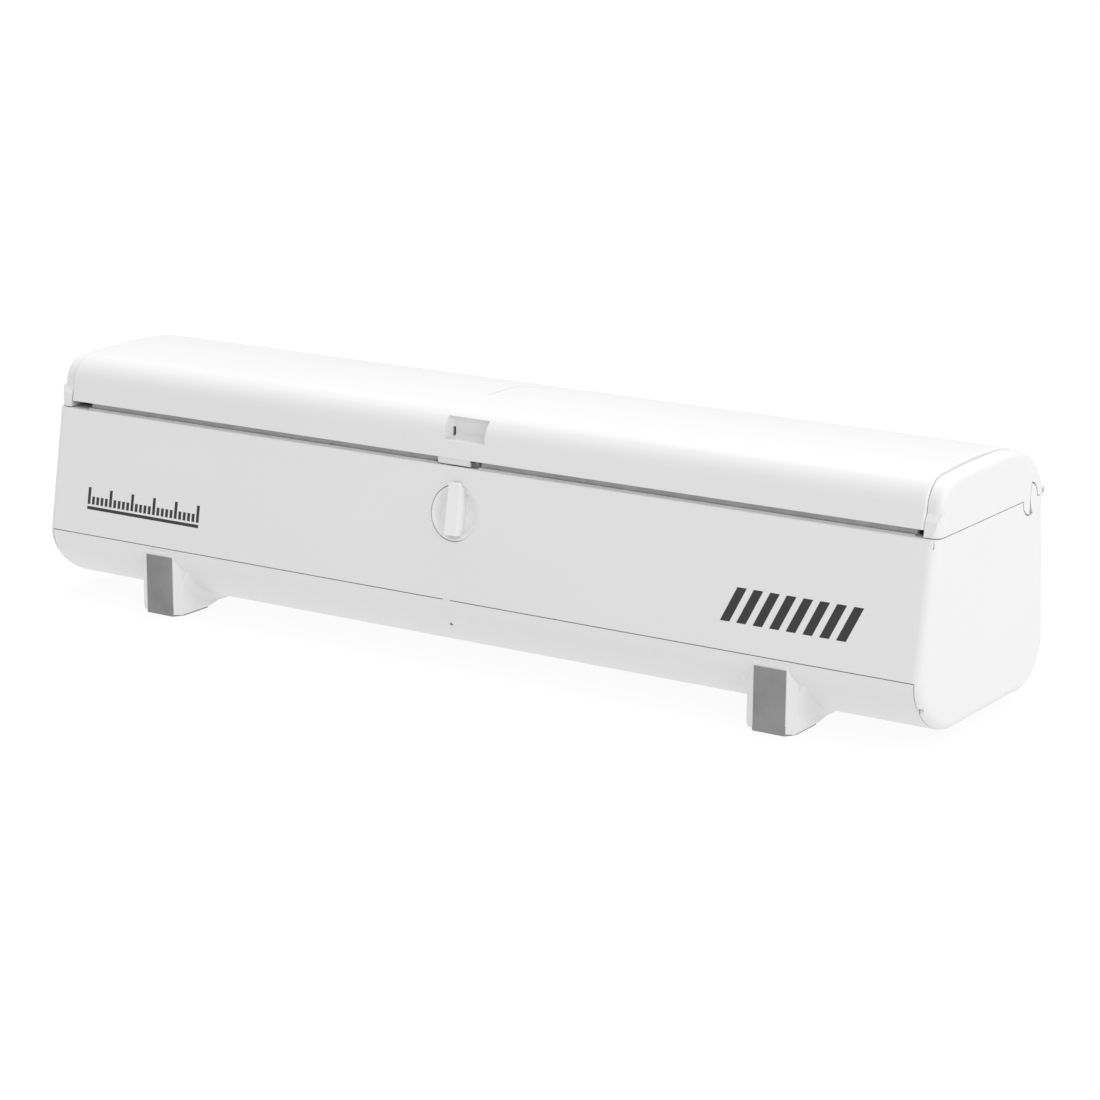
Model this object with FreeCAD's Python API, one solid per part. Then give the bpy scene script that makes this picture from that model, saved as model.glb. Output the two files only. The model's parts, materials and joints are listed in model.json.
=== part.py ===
import FreeCAD, Part
import math
import os

# Cling film dispenser, in millimetres. +X along the roll, +Y to the rear, +Z up.
# The origin is on the ground under the middle of the dispenser.

V = FreeCAD.Vector

# Body outline, seen from the end
HALF = 280.0
WALL = 3.0
SEAM_Z = 38.8
FRONT_SEAM_Y = -71.2
LEDGE_Z = 108.3
FRONT_TOP_Y = -59.2
BELLY_Z = 6.5
BELLY_FRONT_Y = -33.2
BELLY_KNEE = (-66.6, 24.8)
BELLY_REAR_Y = 38.8
REAR_LOW_Y = 71.8
REAR_LOW_Z = 30.0
REAR_TOP_Y = 64.2
SEAM_GAP = 0.5
TALL_Z = 140.0
REAR_PANEL_Z = 107.6
TRAY_HALF = 275.8
END_INNER_X = 276.2
END_PLATE = 3.0
LEDGE_BACK_Y = -45.5
END_ROUND = 5.2

# Lean of the front face, and the frame that its parts are drawn in
LEAN = math.degrees(math.atan2(FRONT_TOP_Y - FRONT_SEAM_Y, LEDGE_Z - SEAM_Z))

# Lid hinge, along the top rear edge
HINGE_Y = 62.8
HINGE_Z = 110.0
KNUCKLE_R = 3.0
PIN_R = 1.5
PIN_PLAY = 0.06
KNUCKLE_ROOM = 0.6

# Interlocked ears at the ends
EAR_Y = 46.8
EAR_Z = 108.6
EAR_R = 8.0
EAR_GAP = 0.9
EAR_SWING_R = 15.6

# Lid
COVER_HALF = 271.3
COVER_WALL = 2.5
COVER_LIP_Z = 112.3
COVER_SKIRT_Z = 109.2
COVER_ROUND = 1.2
CAP_INNER_X = 271.6
CAP_FRONT_Y = -57.3
CAP_BOTTOM_Z = 108.8
CAP_STEP_Z = 119.4
CAP_ROUND = 4.4
CAP_CORNER = 5.0
CAP_LUG_X = 265.0
CAP_LUG_Y = (-42.0, 28.0)
CAP_LUG_THICK = 2.4
FRAME_Z = 110.6
FRAME_THICK = 2.8
FRAME_HALF = 271.0
FRAME_FRONT_Y = -49.2

COVER_LIP_Y = -57.0
COVER_FRONT = (-55.0, 124.0)
COVER_LEAN = math.degrees(math.atan2(COVER_FRONT[0] - COVER_LIP_Y, COVER_FRONT[1] - COVER_LIP_Z))

# Latch
KNOB_Z = 46.4
KNOB_R = 14.9
KNOB_FACE = 0.6
KNOB_RECESS_R = 15.25
KNOB_RECESS_DEPTH = 5.0
FIN_LOW = 11.9
FIN_HIGH = 16.4
CUP_BACK = 7.0
SHAFT_R = 4.0
BOSS_BACK = 13.1
CAM_FRONT = 13.4
CAM_BACK = 15.9
CAM_REACH = 20.8
CAM_LUG_IN = 17.6
TONGUE_Y = -51.6
TONGUE_THICK = 2.2
TONGUE_HALF = 8.0
TAB_X = (-15.0, 5.5)
TAB_Y = (-56.6, -55.2)
TAB_LOW_Z = 108.9
TAB_ROOM = 0.25

STRIP_TOP_Z = 111.5

# Cutter
BLADE_THICK = 0.7
BLADE_TIP = -0.5
BLADE_TOP = 6.2
BLADE_SCREW = 4.6
HOLDER_LOW = 3.0
HOLDER_THICK = 1.4
BLADE_HALF = 266.0
TOOTH = 2.8
TOOTH_DEPTH = 1.6

# Film roll
ROLL_Y = 2.0
ROLL_Z = 58.0
ROLL_R = 36.0
FILM_HALF = 225.0
CORE_HALF = 227.0
CORE_R = 19.5
CORE_BORE_R = 17.0
JOURNAL_R = 7.0
SUPPORT_X = 236.0
SUPPORT_THICK = 4.0

# Feet
FOOT_X = 196.9
FOOT_HALF = 14.5
FOOT_FRONT_Y = -71.3
FOOT_REAR_Y = 56.0
FOOT_BOSS_Z = 13.0
FOOT_LOW_Z = 1.0
FOOT_CORNER = ((9.6, -71.3), (14.5, -68.4))
FOOT_BLEND = 5.0
PAD_HALF = 9.1
SOLE_HALF = 12.8
SOLE_CORNER = ((9.1, -71.8), (12.8, -66.0))
PAD_THICK = 2.0
PAD_FRONT_Y = -71.8
PAD_TOP_Z = 34.0
PAD_BACK_Y = -45.2

SPRING_X = (-190.0, -63.0, 63.0, 190.0)
SPRING_Y = -30.0
SPRING_TOP_Z = 128.0


def box(x0, x1, y0, y1, z0, z1):
    return Part.makeBox(x1 - x0, y1 - y0, z1 - z0, V(x0, y0, z0))


def rod_x(x0, x1, y, z, radius):
    return Part.makeCylinder(radius, x1 - x0, V(x0, y, z), V(1, 0, 0))


def rod_y(y0, y1, x, z, radius):
    return Part.makeCylinder(radius, y1 - y0, V(x, y0, z), V(0, 1, 0))


def rod_z(z0, z1, x, y, radius):
    return Part.makeCylinder(radius, z1 - z0, V(x, y, z0), V(0, 0, 1))


def smooth_middle(here, along, end):
    """Middle point of the arc that leaves here in the direction along and stops at end."""
    chord = end - here
    half = chord.Length / 2
    unit = chord.normalize()
    side = along - unit * along.dot(unit)
    sag = half * math.tan(along.getAngle(unit) / 2)
    return here + unit * half + side.normalize() * sag


def outline(start, *steps):
    """Closed face in the YZ plane. A step is an end point for a line, (middle, end) for an arc,
    or (end,) for an arc that leaves the last edge smoothly."""
    edges = []
    here = V(0, *start)
    for step in steps + (start,):
        if isinstance(step[0], tuple):
            end = V(0, *step[-1])
            if len(step) == 2:
                middle = V(0, *step[0])
            else:
                last = edges[-1]
                middle = smooth_middle(here, last.tangentAt(last.LastParameter), end)
            edges.append(Part.Arc(here, middle, end).toShape())
        else:
            end = V(0, *step)
            edges.append(Part.LineSegment(here, end).toShape())
        here = end
    return Part.Face(Part.Wire(edges))


def slab(face, x0, x1):
    """The face pushed out along X, from x0 to x1."""
    return face.translated(V(x0, 0, 0)).extrude(V(x1 - x0, 0, 0))


def joined(*shapes):
    return shapes[0].fuse(list(shapes[1:])).removeSplitter()


def mirrored(shape):
    return shape.mirror(V(0, 0, 0), V(1, 0, 0))


def on_front(shape):
    """Turns a shape drawn with Y into the body and Z up the front face, onto that face."""
    placed = shape.rotated(V(0, 0, 0), V(1, 0, 0), -LEAN)
    return placed.translated(V(0, FRONT_SEAM_Y, SEAM_Z))


def front_line(z):
    return FRONT_SEAM_Y + (z - SEAM_Z) * math.tan(math.radians(LEAN))


def rear_line(z):
    slope = (REAR_TOP_Y - REAR_LOW_Y) / (REAR_PANEL_Z - REAR_LOW_Z)
    return REAR_LOW_Y + (z - REAR_LOW_Z) * slope


def body_face(top_z):
    """Outline of the body, cut off flat at top_z."""
    return outline(
        (front_line(top_z), top_z),
        (FRONT_SEAM_Y, SEAM_Z),
        ((-70.1, 31.4), BELLY_KNEE),
        ((BELLY_FRONT_Y, BELLY_Z),),
        (BELLY_REAR_Y, BELLY_Z),
        ((63.4, 13.6), (REAR_LOW_Y, REAR_LOW_Z)),
        (rear_line(top_z), top_z))


def cover_face(front_z, skirt_z):
    """Outline of the press cover, from its front lip up and over to the rear skirt."""
    return outline(
        (COVER_FRONT[0] - (COVER_FRONT[1] - front_z) * math.tan(math.radians(COVER_LEAN)), front_z),
        COVER_FRONT,
        ((-40.5, 137.6),),
        ((22.0, 138.5),),
        ((47.0, 133.0),),
        ((64.2, 113.0),),
        (64.2, skirt_z))


def cap_face():
    """Outline of an end cap, without the block at its lower front."""
    return outline(
        (-55.7, CAP_BOTTOM_Z),
        (-53.5, 123.4),
        ((-39.8, 136.0),),
        ((22.0, 137.1),),
        ((46.4, 131.7),),
        ((63.6, 112.4),),
        (64.2, CAP_BOTTOM_Z))


def cap_block_face():
    """Outline of the block that brings the cap's lower front level with the cover."""
    return outline(
        (CAP_FRONT_Y, CAP_BOTTOM_Z),
        (-56.1, CAP_STEP_Z - 3.0),
        (-53.8, CAP_STEP_Z + 1.0),
        (-46.0, CAP_STEP_Z + 1.0),
        (-46.0, CAP_BOTTOM_Z))


def body_block():
    """The body's outer shape, filled in, with its ends rounded."""
    block = slab(body_face(TALL_Z), -HALF, HALF)
    rim = [e for e in block.Edges if abs(e.CenterOfMass.x) > HALF - 0.1 and e.BoundBox.ZMin < TALL_Z - 1]
    return block.makeFillet(END_ROUND, rim)


def body_ring(half, top_z):
    """The body's wall all round, open at the top."""
    outer = body_block().common(box(-half, half, -90, 90, 0, top_z))
    inner = slab(body_face(TALL_Z).makeOffset2D(-WALL), -half - 1, half + 1)
    return outer.cut(inner)


def knob_cup():
    """Recess for the knob, with the boss that its shaft turns in."""
    cup = rod_y(0.5, CUP_BACK, 0, KNOB_Z, KNOB_RECESS_R + 2.4)
    return cup.fuse(rod_y(0.5, BOSS_BACK, 0, KNOB_Z, 6.5))


def knob_recess():
    recess = rod_y(-1, KNOB_RECESS_DEPTH, 0, KNOB_Z, KNOB_RECESS_R)
    return recess.fuse(rod_y(-1, BOSS_BACK + 1, 0, KNOB_Z, SHAFT_R + PIN_PLAY))


def front_panel():
    wall = body_ring(HALF, LEDGE_Z)
    wall = wall.common(box(-HALF, HALF, -90, -40, SEAM_Z + SEAM_GAP / 2, LEDGE_Z))
    ledge = box(-HALF + END_PLATE + 0.2, HALF - END_PLATE - 0.2, -61, LEDGE_BACK_Y, LEDGE_Z - 2.6, LEDGE_Z)
    ledge = ledge.common(slab(body_face(LEDGE_Z), -HALF, HALF))
    ledge = ledge.cut(box(-TONGUE_HALF - 1.5, TONGUE_HALF + 1.5, -56, LEDGE_BACK_Y - 2, 100, 110))
    tab_room = box(TAB_X[0] - TAB_ROOM, TAB_X[1] + TAB_ROOM, TAB_Y[0] - TAB_ROOM, TAB_Y[1] + TAB_ROOM,
                   TAB_LOW_Z - 3.2, LEDGE_Z + 1)
    snap = box(-2, 2.6, FRONT_SEAM_Y + 0.1, FRONT_SEAM_Y + WALL, SEAM_Z - SEAM_GAP / 2, SEAM_Z + 1)
    panel = joined(wall, ledge, on_front(knob_cup()), snap)
    panel = panel.cut([on_front(knob_recess()), tab_room])
    return panel.cut([corner_slit(), mirrored(corner_slit())])


def corner_slit():
    """Short parting line at the top of the right-hand front corner."""
    return box(HALF - 2.4, HALF - 1.8, FRONT_TOP_Y - 4, FRONT_TOP_Y + 1.2, LEDGE_Z - 4.5, LEDGE_Z + 1)


def hinge_stations():
    """(base, frame, cover) knuckle spans along X, for the middle and the two ends."""
    end = ([(255.0, 263.6)], [(264.0, 271.0)], [(247.0, 254.6)])
    flipped = tuple([(-b, -a) for a, b in spans] for spans in end)
    middle = ([(-13.0, -5.4), (5.4, 13.0)], [(-5.0, 5.0)], [(-20.0, -13.4), (13.4, 20.0)])
    return end, flipped, middle


def knuckles(which, web, bore):
    """Knuckles of one part: 0 base, 1 frame, 2 cover. web is (y0, y1, z0, z1)."""
    found = []
    for station in hinge_stations():
        for x0, x1 in station[which]:
            knuckle = rod_x(x0, x1, HINGE_Y, HINGE_Z, KNUCKLE_R)
            knuckle = knuckle.fuse(box(x0, x1, *web))
            found.append(knuckle.cut(rod_x(x0 - 1, x1 + 1, HINGE_Y, HINGE_Z, bore)))
    return found


def knuckle_room(radius):
    """Space around every hinge knuckle."""
    room = []
    for station in hinge_stations():
        low = min(x for spans in station for span in spans for x in span)
        high = max(x for spans in station for span in spans for x in span)
        room.append(rod_x(low - 0.4, high + 0.4, HINGE_Y, HINGE_Z, radius))
    return room


def rear_panel():
    wall = body_ring(HALF, REAR_PANEL_Z)
    wall = wall.common(box(-HALF, HALF, 45, 90, SEAM_Z + SEAM_GAP / 2, REAR_PANEL_Z))
    wall = wall.cut(knuckle_room(KNUCKLE_R + KNUCKLE_ROOM))
    end_room = rod_x(CAP_INNER_X - 0.6, HALF + 1, HINGE_Y, HINGE_Z, KNUCKLE_R + KNUCKLE_ROOM)
    wall = wall.cut([end_room, mirrored(end_room)])
    return joined(wall, *knuckles(0, (61.3, 64.2, 104, HINGE_Z - 2), PIN_R))


def end_panel():
    """The right-hand end of the body; the left is its mirror image."""
    plate = body_block().common(box(END_INNER_X, HALF, -90, 90, 0, LEDGE_Z))
    hollow = slab(body_face(TALL_Z).makeOffset2D(-WALL), END_INNER_X - 1, HALF - END_PLATE)
    notch = box(END_INNER_X - 1, HALF - 1.4, -72, -63.4, 21.6, 25.4)
    plate = plate.cut([hollow, notch, front_panel(), rear_panel(), corner_slit()])
    ear = rod_x(HALF - 4, HALF, EAR_Y, EAR_Z, EAR_R)
    ear = ear.common(rod_x(HALF - 4, HALF, HINGE_Y, HINGE_Z, EAR_SWING_R))
    ear = ear.cut(box(HALF - 5, HALF + 1, EAR_Y - 20, EAR_Y + 20, 90, LEDGE_Z - 4))
    lobe_room = rod_x(END_INNER_X - 6, HALF + 1, EAR_Y, EAR_Z, EAR_R + EAR_GAP)
    lobe_room = lobe_room.cut(rod_x(END_INNER_X - 7, HALF + 2, HINGE_Y, HINGE_Z, EAR_SWING_R))
    pin_room = rod_x(END_INNER_X - 6, HALF + 1, HINGE_Y, HINGE_Z, KNUCKLE_R + KNUCKLE_ROOM)
    bosses = []
    for y in (-26.0, 32.0):
        post = rod_z(BELLY_Z + WALL, 26, HALF - 10, y, 5)
        post = post.fuse(box(HALF - 10, HALF - END_PLATE, y - 1.5, y + 1.5, BELLY_Z + WALL, 26))
        bosses.append(post.cut(rod_z(BELLY_Z, 20, HALF - 10, y, 1.5)))
    return joined(plate.cut([lobe_room, pin_room]), ear.cut([lobe_room, pin_room]), *bosses)


def bottom_tray():
    tray = body_ring(TRAY_HALF, TALL_Z)
    tray = tray.common(box(-TRAY_HALF, TRAY_HALF, -90, 90, 0, SEAM_Z - SEAM_GAP / 2))
    tray = tray.cut(rod_y(-80, -55, 0, 24.3, 1.1))
    for x, y in tray_screw_places():
        tray = tray.cut(rod_z(0, 20, x, y, 1.6))
    for x, y in foot_screw_places():
        boss = rod_z(BELLY_Z + WALL - 0.5, FOOT_BOSS_Z, x, y, 4)
        tray = tray.fuse(boss).cut(rod_z(0, FOOT_BOSS_Z - 1, x, y, 1.5))
    for x, y in support_screw_places():
        tray = tray.cut(rod_z(BELLY_Z + 0.8, 20, x, y, 1.5))
    return tray.removeSplitter()


def tray_screw_places():
    return [(side * (HALF - 10), y) for side in (-1, 1) for y in (-26.0, 32.0)]


def foot_screw_places():
    return [(side * FOOT_X, y) for side in (-1, 1) for y in (-22.0, 22.0)]


def support_screw_places():
    return [(side * (SUPPORT_X + 11), ROLL_Y + dy) for side in (-1, 1) for dy in (-20.0, 20.0)]


def screw(x, y, seat_z, length, down):
    """Pan-head screw along Z, with its head on seat_z. down is 1 or -1, the way it points."""
    head = Part.makeCylinder(2.8, 1.6, V(x, y, seat_z), V(0, 0, -down))
    shank = Part.makeCylinder(1.5, length, V(x, y, seat_z), V(0, 0, down))
    cross = box(x - 1.6, x + 1.6, y - 0.3, y + 0.3, seat_z - down * 1.6 - 0.6, seat_z - down * 1.6 + 0.6)
    turned = cross.rotated(V(x, y, 0), V(0, 0, 1), 90)
    return head.fuse(shank).cut([cross, turned])


def tray_screws():
    places = tray_screw_places()
    return Part.makeCompound([screw(x, y, BELLY_Z, 12, 1) for x, y in places])


def corner_cut(reach, near, far):
    """What lies outside a slanted front corner of the right-hand foot, on the side given by reach.
    near and far are the ends of the slant, as (distance from the foot's middle, y)."""
    front = near[1] - 2.0
    plan = ((near[0], front), near, far, (20.0, far[1]), (20.0, front), (near[0], front))
    points = [V(FOOT_X + reach * across, y, -1) for across, y in plan]
    return Part.Face(Part.makePolygon(points)).extrude(V(0, 0, 60))


def foot_edge(reach):
    """What is taken off the lower edge of a foot, on the side given by reach."""
    side = FOOT_X + reach * FOOT_HALF
    high = FOOT_LOW_Z + 1.8
    section = ((-1, FOOT_LOW_Z), (0, high), (1, high), (1, 0), (-1, 0), (-1, FOOT_LOW_Z))
    points = [V(side + reach * across, -90, z) for across, z in section]
    return Part.Face(Part.makePolygon(points)).extrude(V(0, 180, 0))


def blended_runner(x0, x1):
    """A block under the belly whose sides meet the body in a hollow curve, without the body."""
    body = slab(body_face(60), x0 - 20, x1 + 20)
    whole = body.fuse(box(x0, x1, -120, 120, -40, 60)).removeSplitter()
    surface = body.Shells[0]
    rim = []
    for edge in whole.Edges:
        middle = edge.CenterOfMass
        on_side = min(abs(middle.x - x0), abs(middle.x - x1)) < 0.01
        start = Part.Vertex(edge.firstVertex().Point)
        if on_side and middle.z < 59 and surface.distToShape(start)[0] < 0.01 and edge.BoundBox.ZMax < 60.1:
            rim.append(edge)
    return whole.makeFillet(FOOT_BLEND, rim).cut(body)


def foot():
    """The right-hand foot, a runner from front to rear under the belly."""
    x0 = FOOT_X - FOOT_HALF
    x1 = FOOT_X + FOOT_HALF
    side = outline(
        (FOOT_FRONT_Y, 37.2), (FOOT_FRONT_Y, FOOT_LOW_Z), (PAD_BACK_Y + 2, FOOT_LOW_Z), (PAD_BACK_Y + 7, 3.2),
        (24.0, 3.2), (28.0, 1.2), (FOOT_REAR_Y, 1.2), (FOOT_REAR_Y + 6, 12.0), (FOOT_REAR_Y + 6, 20.0))
    shape = blended_runner(x0, x1).common(slab(side, x0 - 9, x1 + 9))
    for reach in (-1, 1):
        shape = shape.cut([corner_cut(reach, *FOOT_CORNER), foot_edge(reach)])
    shape = shape.cut([pad_solid(), rear_pad_solid()])
    for x, y in foot_screw_places():
        if x > 0:
            shape = shape.cut([rod_z(0, 20, x, y, 1.6), rod_z(0, 5.0, x, y, 3.4)])
    return shape.removeSplitter()


def pad_solid():
    """Rubber of the right-hand foot, up its front and back under it as a sole."""
    upright = box(FOOT_X - PAD_HALF, FOOT_X + PAD_HALF, PAD_FRONT_Y, PAD_FRONT_Y + PAD_THICK, 0, PAD_TOP_Z)
    side = outline(
        (PAD_FRONT_Y, 0), (PAD_FRONT_Y, 5.0), (-71.0, 5.0), (-66.0, PAD_THICK), (PAD_BACK_Y, PAD_THICK),
        (PAD_BACK_Y, 0))
    sole = slab(side, FOOT_X - SOLE_HALF, FOOT_X + SOLE_HALF)
    sole = sole.cut([corner_cut(-1, *SOLE_CORNER), corner_cut(1, *SOLE_CORNER)])
    return upright.fuse(sole).cut(slab(body_face(TALL_Z), FOOT_X - 20, FOOT_X + 20)).removeSplitter()


def rear_pad_solid():
    return box(FOOT_X - PAD_HALF, FOOT_X + PAD_HALF, 31, 53, 0, PAD_THICK)


def foot_screws():
    return Part.makeCompound([screw(x, y, 5.0, 6.8, 1) for x, y in foot_screw_places()])


def grip_strip(x0, x1):
    """Soft strip on the ledge, with an upright bead that the film's loose edge clings to."""
    section = outline(
        (-55.4, LEDGE_Z), (-55.0, LEDGE_Z + 0.6), (-52.6, LEDGE_Z + 0.6), (-52.2, STRIP_TOP_Z - 0.5),
        ((-51.7, STRIP_TOP_Z), (-51.2, STRIP_TOP_Z - 0.2)), (-50.2, STRIP_TOP_Z - 1.6), (-49.9, LEDGE_Z))
    return slab(section, x0, x1)


def roll_support():
    """Right-hand upright with the open slot that the roll's journal drops into."""
    x1 = SUPPORT_X + SUPPORT_THICK
    plate = slab(outline(
        (-33, BELLY_Z + WALL), (38, BELLY_Z + WALL), (20, 62), (17, 76), (-13, 76), (-16, 62)), SUPPORT_X, x1)
    slot = rod_x(SUPPORT_X - 1, x1 + 1, ROLL_Y, ROLL_Z, JOURNAL_R + 0.08)
    throat = box(SUPPORT_X - 1, x1 + 1, ROLL_Y - JOURNAL_R - 0.08, ROLL_Y + JOURNAL_R + 0.08, ROLL_Z, 80)
    mouth = slab(outline((-9, 77), (13, 77), (ROLL_Y + JOURNAL_R, 70), (ROLL_Y - JOURNAL_R, 70)),
                 SUPPORT_X - 1, x1 + 1)
    plate = plate.cut([slot, throat, mouth])
    flange = box(SUPPORT_X, x1 + 12, -26, 30, BELLY_Z + WALL, BELLY_Z + 2 * WALL)
    shape = plate.fuse(flange)
    for y in (-26.0, 27.0):
        web = Part.Face(Part.makePolygon([V(x1, y, 12), V(x1 + 10, y, 12), V(x1, y, 40), V(x1, y, 12)]))
        shape = shape.fuse(web.extrude(V(0, 3, 0)))
    for x, y in support_screw_places():
        shape = shape.cut(rod_z(8, 16, x, y, 1.6))
    return shape.removeSplitter()


def support_screws():
    places = support_screw_places()
    return Part.makeCompound([screw(x, y, BELLY_Z + 2 * WALL, 5, -1) for x, y in places])


def hinge_pins():
    spans = [(246.6, 279.3), (-279.3, -246.6), (-20.4, 20.4)]
    return Part.makeCompound([rod_x(a, b, HINGE_Y, HINGE_Z, PIN_R) for a, b in spans])


def lid_frame():
    """Ladder frame under the press cover."""
    top = FRAME_Z + FRAME_THICK
    parts = [box(-FRAME_HALF, FRAME_HALF, FRAME_FRONT_Y, -36, FRAME_Z, top),
             box(-FRAME_HALF, FRAME_HALF, 40, 58, FRAME_Z, top)]
    for x in (-266.0, -160.0, -53.0, 53.0, 160.0, 266.0):
        parts.append(box(x - 5, x + 5, -40, 44, FRAME_Z, top))
    for x in SPRING_X:
        parts.append(box(x - 9, x + 9, -40, -21, FRAME_Z, top))
        parts.append(rod_z(FRAME_Z, top + 5, x, SPRING_Y, 2.6))
    frame = joined(*parts)
    frame = frame.cut(knuckle_room(KNUCKLE_R + KNUCKLE_ROOM))
    for x, y in cap_screw_places() + tongue_screw_places():
        frame = frame.cut(rod_z(FRAME_Z - 1, top + 1, x, y, 1.5))
    return joined(frame, *knuckles(1, (54, HINGE_Y, FRAME_Z, top - 0.6), PIN_R + PIN_PLAY))


def cap_screw_places():
    return [(side * CAP_LUG_X, y) for side in (-1, 1) for y in CAP_LUG_Y]


def tongue_screw_places():
    return [(-4.5, -41.0), (4.5, -41.0)]


def cap_corner():
    """What is taken off the cap's lower block to round its outer corner."""
    x = HALF - CAP_CORNER
    y = CAP_FRONT_Y + CAP_CORNER
    square = box(x, HALF + 1, CAP_FRONT_Y - 1, y, CAP_BOTTOM_Z - 1, CAP_STEP_Z + 2)
    return square.cut(rod_z(0, 200, x, y, CAP_CORNER))


def lid_end_cap():
    """Right-hand end of the lid, with the lobe that drops in front of the body's ear."""
    shape = slab(cap_face(), CAP_INNER_X, HALF)
    rim = [e for e in shape.Edges if e.CenterOfMass.x > HALF - 0.1 and e.BoundBox.ZMax > CAP_BOTTOM_Z + 0.1]
    shape = shape.makeFillet(CAP_ROUND, rim)
    shape = shape.fuse(slab(cap_block_face(), CAP_INNER_X, HALF).cut(cap_corner()))
    lobe = rod_x(CAP_INNER_X, HALF, EAR_Y, EAR_Z, EAR_R)
    lobe = lobe.cut(box(CAP_INNER_X - 1, HALF + 1, EAR_Y - 0.2, 90, 90, 120))
    shape = shape.fuse(lobe)
    hollow = slab(cap_face().makeOffset2D(-2.4), CAP_INNER_X - 1, HALF - 2.4)
    shape = shape.cut(hollow)
    ear_room = rod_x(CAP_INNER_X - 1, HALF + 1, EAR_Y, EAR_Z, EAR_R + EAR_GAP)
    ear_room = ear_room.common(rod_x(CAP_INNER_X - 1, HALF + 1, HINGE_Y, HINGE_Z, EAR_SWING_R + 0.5))
    shape = shape.cut(ear_room)
    knuckle = rod_x(CAP_INNER_X, HALF - 0.6, HINGE_Y, HINGE_Z, KNUCKLE_R)
    shape = shape.fuse(knuckle)
    shape = shape.cut(rod_x(CAP_INNER_X - 1, HALF - 0.6, HINGE_Y, HINGE_Z, PIN_R + PIN_PLAY))
    top = FRAME_Z + FRAME_THICK
    for y in CAP_LUG_Y:
        lug = box(CAP_LUG_X - 5, HALF - 1, y - 5, y + 5, top, top + CAP_LUG_THICK)
        shape = shape.fuse(lug.cut(rod_z(top - 1, top + 4, CAP_LUG_X, y, 1.6)))
    return shape.removeSplitter()


def cap_screws():
    seat = FRAME_Z + FRAME_THICK + CAP_LUG_THICK
    return Part.makeCompound([screw(x, y, seat, 4.6, -1) for x, y in cap_screw_places()])


def latch_tongue():
    """Tab that hangs from the lid through the ledge, with a side notch for the cam's lug."""
    top = FRAME_Z + FRAME_THICK
    y1 = TONGUE_Y + TONGUE_THICK
    plate = box(-TONGUE_HALF, TONGUE_HALF, TONGUE_Y, y1, 92.5, top + TONGUE_THICK)
    notch = Part.Face(Part.makePolygon([
        V(-11, 0, 95.5), V(-4, 0, 97.8), V(4.5, 0, 97.8),
        V(4.5, 0, 104.6), V(-11, 0, 104.6), V(-11, 0, 95.5)]))
    plate = plate.cut(notch.translated(V(0, TONGUE_Y - 1, 0)).extrude(V(0, TONGUE_THICK + 2, 0)))
    foot_plate = box(-TONGUE_HALF, TONGUE_HALF, TONGUE_Y, -37, top, top + TONGUE_THICK)
    for x, y in tongue_screw_places():
        foot_plate = foot_plate.cut(rod_z(top - 1, top + 4, x, y, 1.6))
    return joined(plate, foot_plate)


def tongue_screws():
    seat = FRAME_Z + FRAME_THICK + TONGUE_THICK
    return Part.makeCompound([screw(x, y, seat, 4.6, -1) for x, y in tongue_screw_places()])


def spring(x):
    """Compression spring between the lid frame and the press cover."""
    base = FRAME_Z + FRAME_THICK
    wire = 0.5
    coil_r = 4.2
    height = SPRING_TOP_Z - base - 2 * wire - 0.2
    helix = Part.makeHelix(height / 5.0, height, coil_r)
    section = Part.Wire(Part.makeCircle(wire, V(coil_r, 0, 0), V(0, 1, 0)))
    coil = Part.Wire(helix.Edges).makePipeShell([section], True, True)
    return coil.translated(V(x, SPRING_Y, base + wire + 0.1))


def press_springs():
    return Part.makeCompound([spring(x) for x in SPRING_X])


def thumb_pocket(grow):
    """The pocket under the front edge of the cover's top, rounded at the back; grow thickens it."""
    pocket = box(-12.6 - grow, 13.6 + grow, -62, -47.4 + grow, 121.4 - grow, 133.6 + grow)
    deep = [e for e in pocket.Edges if abs(e.CenterOfMass.y - (-47.4 + grow)) < 0.1]
    return pocket.makeFillet(3.0 + grow, deep)


def press_cover():
    outer = slab(cover_face(COVER_LIP_Z, COVER_SKIRT_Z), -COVER_HALF, COVER_HALF)
    ends = [e for e in outer.Edges if abs(e.CenterOfMass.x) > COVER_HALF - 0.1]
    rim = [e for e in ends if e.CenterOfMass.z > COVER_LIP_Z + 4]
    outer = outer.makeFillet(COVER_ROUND, rim)
    room = slab(cover_face(100.0, 100.0).makeOffset2D(-COVER_WALL), -HALF, HALF)
    shell = outer.cut(room)
    pocket = thumb_pocket(1.8).common(outer)
    shell = shell.fuse(pocket).cut(thumb_pocket(0))
    slit = box(-11.6, -9.8, -48, -44, 121.8, 127.4)
    tab = box(*TAB_X, *TAB_Y, TAB_LOW_Z, COVER_LIP_Z + 2)
    shell = shell.cut(slit).fuse(tab)
    for x in SPRING_X:
        socket = rod_z(SPRING_TOP_Z - 2, 136.5, x, SPRING_Y, 7)
        socket = socket.cut(rod_z(100, SPRING_TOP_Z, x, SPRING_Y, 5.6))
        socket = socket.cut(rod_z(100, SPRING_TOP_Z + 5, x, SPRING_Y, 3.4))
        shell = shell.fuse(socket)
    for x in (-220.0, -110.0, 110.0, 220.0):
        rib = slab(cover_face(COVER_LIP_Z, COVER_SKIRT_Z), x - 0.8, x + 0.8)
        shell = shell.fuse(rib.common(box(-300, 300, -48, 50, 131, 145)))
    press_mark = box(-10.5, 10.5, -17, 15, 138.9, 145)
    shell = shell.cut(press_mark)
    shell = shell.cut(knuckle_room(KNUCKLE_R + KNUCKLE_ROOM))
    return joined(shell, *knuckles(2, (60.8, 64.0, HINGE_Z, 116), PIN_R + PIN_PLAY))


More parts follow.
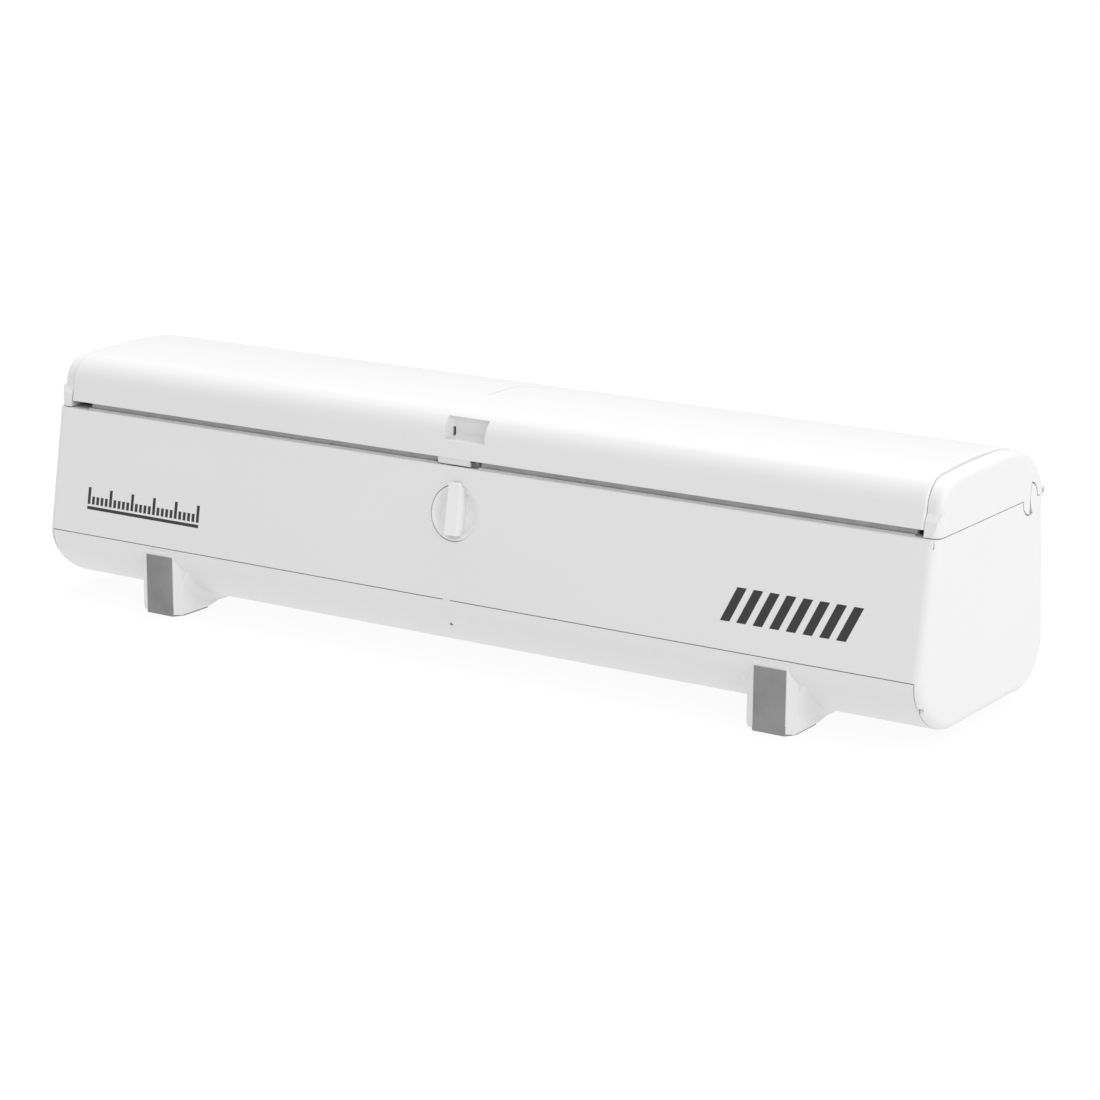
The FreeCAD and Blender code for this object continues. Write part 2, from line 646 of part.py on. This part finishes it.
def on_cover(shape):
    """Places a shape drawn with Y into the body and Z up, on the inside of the cover's front wall."""
    placed = shape.rotated(V(0, 0, 0), V(1, 0, 0), -COVER_LEAN)
    inset = COVER_WALL / math.cos(math.radians(COVER_LEAN))
    return placed.translated(V(0, COVER_LIP_Y + inset, COVER_LIP_Z))


def blade_screw_places():
    return [side * (40.0 + 72.0 * step) for side in (-1, 1) for step in range(4)]


def cutter_blade():
    """Serrated steel strip behind the cover's lip."""
    count = int(2 * BLADE_HALF / TOOTH)
    points = [V(-BLADE_HALF, 0, BLADE_TOP)]
    for step in range(count):
        x = -BLADE_HALF + step * TOOTH
        points.append(V(x, 0, BLADE_TIP + TOOTH_DEPTH))
        points.append(V(x + TOOTH / 2, 0, BLADE_TIP))
    end_x = -BLADE_HALF + count * TOOTH
    points += [V(end_x, 0, BLADE_TIP + TOOTH_DEPTH), V(end_x, 0, BLADE_TOP), points[0]]
    blade = Part.Face(Part.makePolygon(points)).extrude(V(0, BLADE_THICK, 0))
    holes = [rod_y(-1, 2, x, BLADE_SCREW, 1.1) for x in blade_screw_places()]
    return on_cover(blade.cut(holes))


def blade_holder():
    """Right-hand strip that clamps the blade; the left is its mirror image."""
    y1 = BLADE_THICK + HOLDER_THICK
    holder = box(TONGUE_HALF + 4, BLADE_HALF, BLADE_THICK, y1, HOLDER_LOW, BLADE_TOP)
    holes = [rod_y(0, 4, x, BLADE_SCREW, 1.1) for x in blade_screw_places() if x > 0]
    return on_cover(holder.cut(holes))


def blade_screws():
    seat = BLADE_THICK + HOLDER_THICK
    found = []
    for x in blade_screw_places():
        head = rod_y(seat, seat + 1.2, x, BLADE_SCREW, 1.7)
        shank = rod_y(0, seat, x, BLADE_SCREW, 1.1)
        slot = box(x - 1.2, x + 1.2, seat + 0.7, seat + 2, BLADE_SCREW - 0.2, BLADE_SCREW + 0.2)
        found.append(on_cover(head.fuse(shank).cut(slot)))
    return Part.makeCompound(found)


def knob():
    """Dished round knob with an upright fin and a shaft."""
    disc = rod_y(KNOB_FACE, KNOB_RECESS_DEPTH - 0.3, 0, KNOB_Z, KNOB_R)
    dish = Part.makeCone(14.2, 10.6, 3.0, V(0, KNOB_FACE, KNOB_Z), V(0, 1, 0))
    fin = Part.Face(Part.makePolygon([
        V(-3.6, -2.6, 0), V(3.6, -2.6, 0), V(4.5, 4.0, 0), V(-4.5, 4.0, 0), V(-3.6, -2.6, 0)]))
    fin = fin.translated(V(0, 0, KNOB_Z - FIN_LOW)).extrude(V(0, 0, FIN_LOW + FIN_HIGH))
    overhang = box(-6, 6, -0.5, 6, KNOB_Z + KNOB_R - 0.4, KNOB_Z + 20)
    corner = box(-6, 6, -4, 4, KNOB_Z + KNOB_R, KNOB_Z + 22).cut(rod_y(-5, 5, 0, KNOB_Z + 12.4, 4.6))
    fin = fin.cut([overhang, corner])
    shaft = rod_y(KNOB_RECESS_DEPTH - 0.5, CAM_FRONT, 0, KNOB_Z, SHAFT_R)
    spindle = rod_y(CAM_FRONT - 0.5, CAM_BACK, 0, KNOB_Z, 3.0).cut(box(2.2, 4, 0, 20, KNOB_Z - 4, KNOB_Z + 4))
    whole = joined(disc.cut(dish), fin, shaft, spindle)
    return on_front(whole.cut(rod_y(CAM_FRONT - 5, 20, 0, KNOB_Z, 1.2)))


def latch_cam():
    """Arm on the knob's shaft. Its lug points left when open and turns up into the tongue."""
    hub = rod_y(CAM_FRONT, CAM_BACK, 0, KNOB_Z, 7.5)
    reach = rod_y(7, CAM_BACK + 1, 0, KNOB_Z, CAM_REACH)
    arm = box(-CAM_REACH, 0, CAM_FRONT, CAM_BACK, KNOB_Z - 3.5, KNOB_Z + 3.5).common(reach)
    lug = box(-CAM_REACH, -CAM_LUG_IN + 1.5, 8.9, CAM_FRONT + 0.5, KNOB_Z - 3.5, KNOB_Z + 3.5).common(reach)
    lug = lug.cut(rod_y(7, CAM_BACK + 2, 0, KNOB_Z, CAM_LUG_IN))
    bore = rod_y(8, 20, 0, KNOB_Z, 3.0).cut(box(2.2, 4, 0, 21, KNOB_Z - 4, KNOB_Z + 4))
    whole = joined(hub, arm, lug)
    return on_front(whole.cut(bore))


def cam_washer():
    washer = rod_y(CAM_BACK, CAM_BACK + 0.8, 0, KNOB_Z, 5.5)
    return on_front(washer.cut(rod_y(8, 20, 0, KNOB_Z, 1.6)))


def cam_screw():
    seat = CAM_BACK + 0.8
    head = rod_y(seat, seat + 1.8, 0, KNOB_Z, 2.8)
    shank = rod_y(CAM_FRONT - 4, seat, 0, KNOB_Z, 1.2)
    slot = box(-3, 3, seat + 1, seat + 3, KNOB_Z - 0.3, KNOB_Z + 0.3)
    return on_front(head.fuse(shank).cut(slot))


def tube(x0, x1, outer_r, inner_r):
    whole = rod_x(x0, x1, ROLL_Y, ROLL_Z, outer_r)
    return whole.cut(rod_x(x0 - 1, x1 + 1, ROLL_Y, ROLL_Z, inner_r))


def end_plug():
    """Right-hand plug: a flange and spigot in the core, and the journal in the support."""
    spigot = tube(208, CORE_HALF, CORE_BORE_R, 14.0)
    flange = rod_x(CORE_HALF, CORE_HALF + 2.5, ROLL_Y, ROLL_Z, 24)
    shoulder = rod_x(CORE_HALF + 2, SUPPORT_X - 0.5, ROLL_Y, ROLL_Z, 10)
    journal = rod_x(SUPPORT_X - 1, SUPPORT_X + SUPPORT_THICK + 1, ROLL_Y, ROLL_Z, JOURNAL_R)
    collar = rod_x(SUPPORT_X + SUPPORT_THICK + 0.5, SUPPORT_X + SUPPORT_THICK + 3, ROLL_Y, ROLL_Z, 10)
    return joined(spigot, flange, shoulder, journal, collar)


def nodes():
    """Every node's shape, by name."""
    right_strip = grip_strip(TONGUE_HALF + 2, 266)
    return {
        "front_panel": front_panel(),
        "rear_panel": rear_panel(),
        "end_panel_right": end_panel(),
        "end_panel_left": mirrored(end_panel()),
        "bottom_tray": bottom_tray(),
        "foot_right": foot(),
        "foot_left": mirrored(foot()),
        "foot_pad_right": pad_solid(),
        "foot_pad_left": mirrored(pad_solid()),
        "rear_pad_right": rear_pad_solid(),
        "rear_pad_left": mirrored(rear_pad_solid()),
        "grip_strip_right": right_strip,
        "grip_strip_left": grip_strip(-260, TAB_X[0] - 1.6),
        "roll_support_right": roll_support(),
        "roll_support_left": mirrored(roll_support()),
        "hinge_pins": hinge_pins(),
        "tray_screws": tray_screws(),
        "foot_screws": foot_screws(),
        "support_screws": support_screws(),
        "lid_frame": lid_frame(),
        "lid_end_cap_right": lid_end_cap(),
        "lid_end_cap_left": mirrored(lid_end_cap()),
        "cap_screws": cap_screws(),
        "latch_tongue": latch_tongue(),
        "tongue_screws": tongue_screws(),
        "press_springs": press_springs(),
        "press_cover": press_cover(),
        "cutter_blade": cutter_blade(),
        "blade_holder_right": blade_holder(),
        "blade_holder_left": mirrored(blade_holder()),
        "blade_screws": blade_screws(),
        "knob": knob(),
        "latch_cam": latch_cam(),
        "cam_washer": cam_washer(),
        "cam_screw": cam_screw(),
        "film_roll": tube(-FILM_HALF, FILM_HALF, ROLL_R, CORE_R),
        "core_tube": tube(-CORE_HALF, CORE_HALF, CORE_R, CORE_BORE_R),
        "end_plug_right": end_plug(),
        "end_plug_left": mirrored(end_plug()),
    }


def main():
    os.makedirs("parts", exist_ok=True)
    for name, shape in nodes().items():
        shape.exportStep(os.path.join("parts", name + ".step"))
        solids = len(shape.Solids)
        print(name, "solids", solids, "valid", shape.isValid(), "volume", round(shape.Volume, 1))


main()
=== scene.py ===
import json
import math
import random

import bmesh
import bpy
from mathutils import Matrix, Vector


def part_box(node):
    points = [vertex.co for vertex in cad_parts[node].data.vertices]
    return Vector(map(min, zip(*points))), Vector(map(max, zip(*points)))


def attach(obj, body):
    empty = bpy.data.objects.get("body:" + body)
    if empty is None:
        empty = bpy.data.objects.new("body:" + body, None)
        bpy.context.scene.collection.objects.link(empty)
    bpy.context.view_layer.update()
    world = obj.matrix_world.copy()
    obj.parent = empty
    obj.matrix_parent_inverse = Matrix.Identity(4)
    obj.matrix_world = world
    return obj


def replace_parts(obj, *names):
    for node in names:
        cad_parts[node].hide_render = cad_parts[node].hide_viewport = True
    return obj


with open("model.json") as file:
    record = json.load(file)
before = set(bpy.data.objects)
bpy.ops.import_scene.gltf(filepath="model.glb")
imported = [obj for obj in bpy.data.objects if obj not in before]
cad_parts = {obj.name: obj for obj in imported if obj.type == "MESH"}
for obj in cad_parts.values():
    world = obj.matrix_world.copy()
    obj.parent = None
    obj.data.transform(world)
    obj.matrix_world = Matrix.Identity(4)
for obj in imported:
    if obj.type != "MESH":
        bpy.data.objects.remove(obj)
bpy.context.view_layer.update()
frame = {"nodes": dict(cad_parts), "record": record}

MM = 0.001

# Camera, about 33 degrees round to the right of the front
CAMERA_AZIMUTH = math.radians(33.03)
CAMERA_ELEVATION = math.radians(14.37)
CAMERA_ROLL = math.radians(0.36)
CAMERA_DISTANCE = 1.828
CAMERA_LENS = 102.75
CAMERA_AIM = Vector((-0.04353, 0.0968, 0.02426))

# Sky radiance, and the lamps in watts
SKY_FRONT = 0.45
SKY_RIGHT = 0.30
SKY_OVER = 0.80
TOP_LAMP = 15.0
RIGHT_LAMP = 6.5
FLOOR_GLOW = 0.875
FLOOR_RADIUS = 9.0

# Front face of the body: where it starts and how it leans back
FACE_Y = -71.2
FACE_Z = 38.8
FACE_SLOPE = 0.17266

# Ink graphics
INK_PROUD = 0.03
INK_SUNK = 0.10
RULE_X0 = -252.0
RULE_STEP = 3.18
RULE_COUNT = 26
RULE_LOW = 53.3
RULE_TOP = 65.8
RULE_LINE = 1.8
RULE_GAP = 3.0
RULE_TICK = 2.0
RULE_SHORTER = 5.0
RULE_LONG_EVERY = 5
BAND_X0 = 166.0
BAND_STEP = 9.4
BAND_COUNT = 8
BAND_LOW = 53.4
BAND_TOP = 71.0
BAND_WIDTH = 5.4
BAND_SLANT = 8.0

# Wound film
FILM_SIDES = 160
FILM_STEP = 0.25
FILM_EDGE_ANGLE = 1.9
FILM_STATIONS = 60
FILM_LAYERS = 16
FILM_END_SHIFT = 0.5
FILM_THINNER = 0.06
FILM_SEED = 7

node = frame["nodes"]


# ---------------------------------------------------------------- node graph helpers

class Graph:
    """A material's node tree, with short calls for the nodes used here."""

    def __init__(self, name):
        self.material = bpy.data.materials.new(name)
        self.material.use_nodes = True
        self.tree = self.material.node_tree
        self.shader = self.tree.nodes["Principled BSDF"]
        self.place = self.add("ShaderNodeTexCoord").outputs["Object"]

    def add(self, kind, **values):
        made = self.tree.nodes.new(kind)
        for key, value in values.items():
            setattr(made, key, value)
        return made

    def link(self, source, target):
        self.tree.links.new(source, target)

    def set(self, **values):
        for key, value in values.items():
            self.shader.inputs[key.replace("_", " ")].default_value = value

    def stretched(self, scale):
        """Object coordinates scaled by (x, y, z)."""
        mapping = self.add("ShaderNodeMapping")
        mapping.inputs["Scale"].default_value = scale
        self.link(self.place, mapping.inputs["Vector"])
        return mapping.outputs["Vector"]

    def noise(self, scale, detail=2.0, vector=None, roughness=0.5):
        made = self.add("ShaderNodeTexNoise")
        made.inputs["Scale"].default_value = scale
        made.inputs["Detail"].default_value = detail
        made.inputs["Roughness"].default_value = roughness
        self.link(vector or self.place, made.inputs["Vector"])
        return made.outputs["Fac"]

    def ramp(self, value, low, high, out_low=0.0, out_high=1.0):
        made = self.add("ShaderNodeMapRange")
        made.inputs["From Min"].default_value = low
        made.inputs["From Max"].default_value = high
        made.inputs["To Min"].default_value = out_low
        made.inputs["To Max"].default_value = out_high
        self.link(value, made.inputs["Value"])
        return made.outputs["Result"]

    def mix(self, factor, first, second):
        """Colour between two colours."""
        made = self.add("ShaderNodeMix", data_type="RGBA")
        self.link(factor, made.inputs[0])
        for socket, colour in ((made.inputs[6], first), (made.inputs[7], second)):
            if hasattr(colour, "is_linked"):
                self.link(colour, socket)
            else:
                socket.default_value = (*colour, 1.0)
        return made.outputs[2]

    def math(self, operation, first, second):
        made = self.add("ShaderNodeMath", operation=operation)
        for socket, value in ((made.inputs[0], first), (made.inputs[1], second)):
            if hasattr(value, "is_linked"):
                self.link(value, socket)
            else:
                socket.default_value = value
        return made.outputs[0]

    def bump(self, height, distance, strength=1.0):
        made = self.add("ShaderNodeBump")
        made.inputs["Strength"].default_value = strength
        made.inputs["Distance"].default_value = distance
        self.link(height, made.inputs["Height"])
        self.link(made.outputs["Normal"], self.shader.inputs["Normal"])

    def colour(self, socket):
        self.link(socket, self.shader.inputs["Base Color"])

    def roughness(self, socket):
        self.link(socket, self.shader.inputs["Roughness"])


# ---------------------------------------------------------------- materials

def moulded_white(name, light, shade, rough, grain):
    """White moulded plastic: faint flow variation, spark-eroded grain, soft sheen."""
    g = Graph(name)
    flow = g.noise(7.0, 3.0, g.stretched((0.35, 1.0, 1.0)))
    g.colour(g.mix(g.ramp(flow, 0.3, 0.7), light, shade))
    g.roughness(g.ramp(g.noise(650.0, 2.0), 0.3, 0.7, rough - 0.04, rough + 0.05))
    g.bump(g.noise(grain, 3.0, None, 0.6), 0.00006, 0.35)
    g.set(IOR=1.52)
    return g.material


def grey_rubber():
    """Matt grey rubber with a fine moulded stipple."""
    g = Graph("grey_rubber")
    patch = g.noise(60.0, 4.0)
    g.colour(g.mix(g.ramp(patch, 0.35, 0.65), (0.215, 0.215, 0.218), (0.262, 0.262, 0.265)))
    g.roughness(g.ramp(g.noise(900.0, 2.0), 0.3, 0.7, 0.66, 0.82))
    g.bump(g.noise(2600.0, 2.0), 0.00010, 0.5)
    g.set(IOR=1.5)
    return g.material


def brushed_steel(name, colour, rough, along):
    """Steel with fine grinding lines. along is the stretch that sets their direction."""
    g = Graph(name)
    lines = g.noise(90.0, 5.0, g.stretched(along), 0.7)
    darker = tuple(0.78 * c for c in colour)
    g.colour(g.mix(g.ramp(lines, 0.3, 0.7), darker, colour))
    g.roughness(g.ramp(lines, 0.25, 0.75, rough - 0.08, rough + 0.10))
    g.bump(lines, 0.00003, 0.4)
    g.set(Metallic=1.0)
    return g.material


def grey_acetal():
    g = Graph("grey_acetal")
    g.colour(g.mix(g.ramp(g.noise(40.0, 3.0), 0.35, 0.65), (0.36, 0.37, 0.38), (0.42, 0.43, 0.44)))
    g.roughness(g.ramp(g.noise(700.0), 0.3, 0.7, 0.40, 0.52))
    g.bump(g.noise(1800.0, 2.0), 0.00005, 0.4)
    return g.material


def wound_film():
    """Clear film wound on itself: bands along the roll, a cloudy depth and a wet gloss."""
    g = Graph("wound_film")
    bands = g.noise(55.0, 6.0, g.stretched((1.0, 0.04, 0.04)), 0.65)
    wrinkles = g.noise(26.0, 5.0, g.stretched((0.5, 2.4, 2.4)), 0.6)
    tone = g.math("ADD", g.math("MULTIPLY", bands, 0.65), g.math("MULTIPLY", wrinkles, 0.35))
    g.colour(g.mix(g.ramp(tone, 0.35, 0.65), (0.52, 0.60, 0.60), (0.78, 0.83, 0.83)))
    g.roughness(g.ramp(bands, 0.3, 0.7, 0.09, 0.22))
    g.bump(tone, 0.00035, 0.6)
    g.set(IOR=1.5, Transmission_Weight=0.25, Coat_Weight=0.5, Coat_Roughness=0.06)
    return g.material


def core_board():
    """Spiral-wound board."""
    g = Graph("core_board")
    wave = g.add("ShaderNodeTexWave", wave_type="BANDS", bands_direction="X")
    wave.inputs["Scale"].default_value = 9.0
    wave.inputs["Distortion"].default_value = 0.6
    g.link(g.stretched((1.0, 0.35, 0.35)), wave.inputs["Vector"])
    fibres = g.noise(380.0, 6.0, g.stretched((1.0, 0.4, 0.4)), 0.7)
    seam = g.ramp(wave.outputs["Fac"], 0.0, 0.06, 0.65, 1.0)
    tone = g.math("MULTIPLY", seam, g.ramp(fibres, 0.2, 0.8, 0.75, 1.0))
    g.colour(g.mix(tone, (0.20, 0.13, 0.075), (0.50, 0.37, 0.235)))
    g.roughness(g.ramp(fibres, 0.2, 0.8, 0.75, 0.92))
    g.bump(tone, 0.0002, 0.5)
    return g.material


def silicone():
    """Matt light silicone with a fine stipple."""
    g = Graph("white_silicone")
    g.colour(g.mix(g.ramp(g.noise(120.0, 3.0), 0.35, 0.65), (0.60, 0.60, 0.60), (0.66, 0.66, 0.66)))
    g.roughness(g.ramp(g.noise(900.0), 0.3, 0.7, 0.60, 0.74))
    g.bump(g.noise(2200.0, 2.0), 0.00008, 0.4)
    return g.material


def print_ink():
    """Screen-printed near-black ink."""
    g = Graph("print_ink")
    g.colour(g.mix(g.ramp(g.noise(900.0, 3.0), 0.3, 0.7), (0.020, 0.020, 0.021), (0.028, 0.028, 0.029)))
    g.roughness(g.ramp(g.noise(500.0), 0.3, 0.7, 0.42, 0.55))
    g.bump(g.noise(2200.0), 0.00002, 0.4)
    return g.material


def grey(level):
    return (level, level, level)


def finishes():
    """A material for each of the record's slots."""
    return {
        "white_shell": moulded_white("white_shell", grey(0.735), grey(0.715), 0.38, 2400.0),
        "white_inner": moulded_white("white_inner", (0.70, 0.70, 0.695), (0.67, 0.67, 0.665), 0.52, 1700.0),
        "white_knob": moulded_white("white_knob", grey(0.80), grey(0.78), 0.30, 2800.0),
        "white_silicone": silicone(),
        "grey_rubber": grey_rubber(),
        "blade_steel": brushed_steel("blade_steel", (0.60, 0.61, 0.63), 0.26, (40.0, 1.0, 1.0)),
        "bright_steel": brushed_steel("bright_steel", (0.56, 0.57, 0.58), 0.34, (6.0, 6.0, 1.0)),
        "spring_steel": brushed_steel("spring_steel", (0.48, 0.49, 0.50), 0.30, (2.0, 2.0, 9.0)),
        "grey_acetal": grey_acetal(),
        "cling_film": wound_film(),
        "core_board": core_board(),
    }


def finish_cad_nodes(materials):
    for part in frame["record"]["subparts"]:
        for slot in node[part["node"]].material_slots:
            slot.material = materials[part["material_slot"]]


# ---------------------------------------------------------------- added pieces

def add_piece(name, build, body, material):
    """Turns a bmesh into a piece that rides on a body."""
    bmesh.ops.recalc_face_normals(build, faces=build.faces)
    mesh = bpy.data.meshes.new(name)
    build.to_mesh(mesh)
    build.free()
    mesh.materials.append(material)
    made = bpy.data.objects.new(name, mesh)
    bpy.context.scene.collection.objects.link(made)
    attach(made, body)
    return made


def printed(name, marks, ink):
    """Ink on the front face. Each mark is a closed outline of (x, z) points in millimetres."""
    build = bmesh.new()
    for mark in marks:
        sunk = []
        proud = []
        for x, z in mark:
            y = FACE_Y + (z - FACE_Z) * FACE_SLOPE
            sunk.append(build.verts.new(Vector((x, y + INK_SUNK, z)) * MM))
            proud.append(build.verts.new(Vector((x, y - INK_PROUD, z)) * MM))
        build.faces.new(proud)
        build.faces.new(reversed(sunk))
        for here in range(len(mark)):
            after = (here + 1) % len(mark)
            build.faces.new((proud[here], sunk[here], sunk[after], proud[after]))
    add_piece(name, build, "base", ink)


def bar(x0, x1, z0, z1, slant=0.0):
    return ((x0, z0), (x1, z0), (x1 + slant, z1), (x0 + slant, z1))


def graphics(ink):
    """Generic marks: a ruled scale on the left, and a block of slanted bars on the right."""
    end = RULE_X0 + (RULE_COUNT - 1) * RULE_STEP + RULE_TICK
    rule = [bar(RULE_X0, end, RULE_LOW, RULE_LOW + RULE_LINE)]
    for step in range(RULE_COUNT):
        x = RULE_X0 + step * RULE_STEP
        top = RULE_TOP if step % RULE_LONG_EVERY == 0 else RULE_TOP - RULE_SHORTER
        rule.append(bar(x, x + RULE_TICK, RULE_LOW + RULE_GAP, top))
    band = []
    for step in range(BAND_COUNT):
        x = BAND_X0 + step * BAND_STEP
        band.append(bar(x, x + BAND_WIDTH, BAND_LOW, BAND_TOP, BAND_SLANT))
    printed("print_left", rule, ink)
    printed("print_right", band, ink)


def film():
    """The wound film: slightly uneven turns, and the free edge of its last turn."""
    low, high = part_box("film_roll")
    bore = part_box("core_tube")[1].z - (low.z + high.z) / 2
    centre = (low + high) / 2
    outer = (high.z - low.z) / 2
    chance = random.Random(FILM_SEED)
    profile = []
    for layer in range(FILM_LAYERS + 1):
        radius = bore + (outer - bore) * layer / FILM_LAYERS
        profile.append((low.x + chance.uniform(0.0, FILM_END_SHIFT) * MM, radius, 0.0))
    for station in range(1, FILM_STATIONS):
        x = low.x + (high.x - low.x) * station / FILM_STATIONS
        profile.append((x, outer - chance.uniform(0.0, FILM_THINNER) * MM, 1.0))
    for layer in range(FILM_LAYERS, -1, -1):
        radius = bore + (outer - bore) * layer / FILM_LAYERS
        profile.append((high.x - chance.uniform(0.0, FILM_END_SHIFT) * MM, radius, 0.0))
    build = bmesh.new()
    columns = []
    for side in range(FILM_SIDES + 1):
        turn = side / FILM_SIDES
        angle = math.tau * turn + FILM_EDGE_ANGLE
        column = []
        for x, radius, wound in profile:
            reach = radius - wound * turn * FILM_STEP * MM
            y = centre.y + reach * math.cos(angle)
            z = centre.z + reach * math.sin(angle)
            column.append(build.verts.new((x, y, z)))
        columns.append(column)
    for here, after in zip(columns, columns[1:]):
        for step in range(len(profile)):
            follow = (step + 1) % len(profile)
            build.faces.new((here[step], here[follow], after[follow], after[step]))
    bmesh.ops.remove_doubles(build, verts=build.verts, dist=0.01 * MM)
    return build


# ---------------------------------------------------------------- studio

def camera():
    back = Vector((math.sin(CAMERA_AZIMUTH) * math.cos(CAMERA_ELEVATION),
                   -math.cos(CAMERA_AZIMUTH) * math.cos(CAMERA_ELEVATION),
                   math.sin(CAMERA_ELEVATION)))
    right = Vector((0, 0, 1)).cross(back).normalized()
    up = back.cross(right)
    turn = Matrix.Rotation(CAMERA_ROLL, 3, back)
    right = turn @ right
    up = turn @ up
    data = bpy.data.cameras.new("camera")
    data.sensor_width = 36.0
    data.lens = CAMERA_LENS
    made = bpy.data.objects.new("camera", data)
    bpy.context.scene.collection.objects.link(made)
    place = CAMERA_AIM + back * CAMERA_DISTANCE
    axes = Matrix((right, up, back)).transposed().to_4x4()
    made.matrix_world = Matrix.Translation(place) @ axes
    bpy.context.scene.camera = made


def area_light(name, place, aim, size, power):
    data = bpy.data.lights.new(name, "AREA")
    data.shape = "RECTANGLE"
    data.size = size[0]
    data.size_y = size[1]
    data.energy = power
    made = bpy.data.objects.new(name, data)
    made.location = place
    made.rotation_euler = (Vector(aim) - Vector(place)).to_track_quat("-Z", "Y").to_euler()
    bpy.context.scene.collection.objects.link(made)


def sky():
    """World light as radiance by direction: brighter overhead and to the right."""
    world = bpy.data.worlds.new("studio")
    world.use_nodes = True
    tree = world.node_tree
    place = tree.nodes.new("ShaderNodeTexCoord")
    split = tree.nodes.new("ShaderNodeSeparateXYZ")
    tree.links.new(place.outputs["Generated"], split.inputs["Vector"])
    total = None
    for axis, gain in (("X", SKY_RIGHT), ("Z", SKY_OVER)):
        lobe = tree.nodes.new("ShaderNodeMapRange")
        lobe.inputs["To Max"].default_value = gain
        lobe.interpolation_type = "SMOOTHSTEP"
        tree.links.new(split.outputs[axis], lobe.inputs["Value"])
        add = tree.nodes.new("ShaderNodeMath")
        add.operation = "ADD"
        add.inputs[1].default_value = SKY_FRONT
        if total is not None:
            tree.links.new(total, add.inputs[1])
        tree.links.new(lobe.outputs["Result"], add.inputs[0])
        total = add.outputs["Value"]
    tree.links.new(total, tree.nodes["Background"].inputs["Strength"])
    tree.nodes["Background"].inputs["Color"].default_value = (1.0, 1.0, 1.0, 1.0)
    bpy.context.scene.world = world


def studio():
    bpy.context.scene.view_settings.view_transform = "Standard"
    sky()
    bpy.ops.mesh.primitive_circle_add(vertices=96, radius=FLOOR_RADIUS, fill_type="NGON")
    floor = bpy.context.object
    floor.name = "floor"
    g = Graph("floor_white")
    g.colour(g.mix(g.noise(3.0), (0.11, 0.11, 0.11), (0.12, 0.12, 0.12)))
    g.set(Roughness=0.95, Specular_IOR_Level=0.1)
    g.set(Emission_Color=(1.0, 1.0, 1.0, 1.0), Emission_Strength=FLOOR_GLOW)
    floor.data.materials.append(g.material)
    area_light("top", (-0.2, 0.75, 2.1), (0.0, 0.0, 0.1), (1.6, 1.0), TOP_LAMP)
    area_light("right", (1.6, -0.45, 0.75), (0.0, 0.0, 0.08), (0.9, 0.9), RIGHT_LAMP)


made = finishes()
finish_cad_nodes(made)
graphics(print_ink())
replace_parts(add_piece("film_roll_wound", film(), "roll", made["cling_film"]), "film_roll")
camera()
studio()
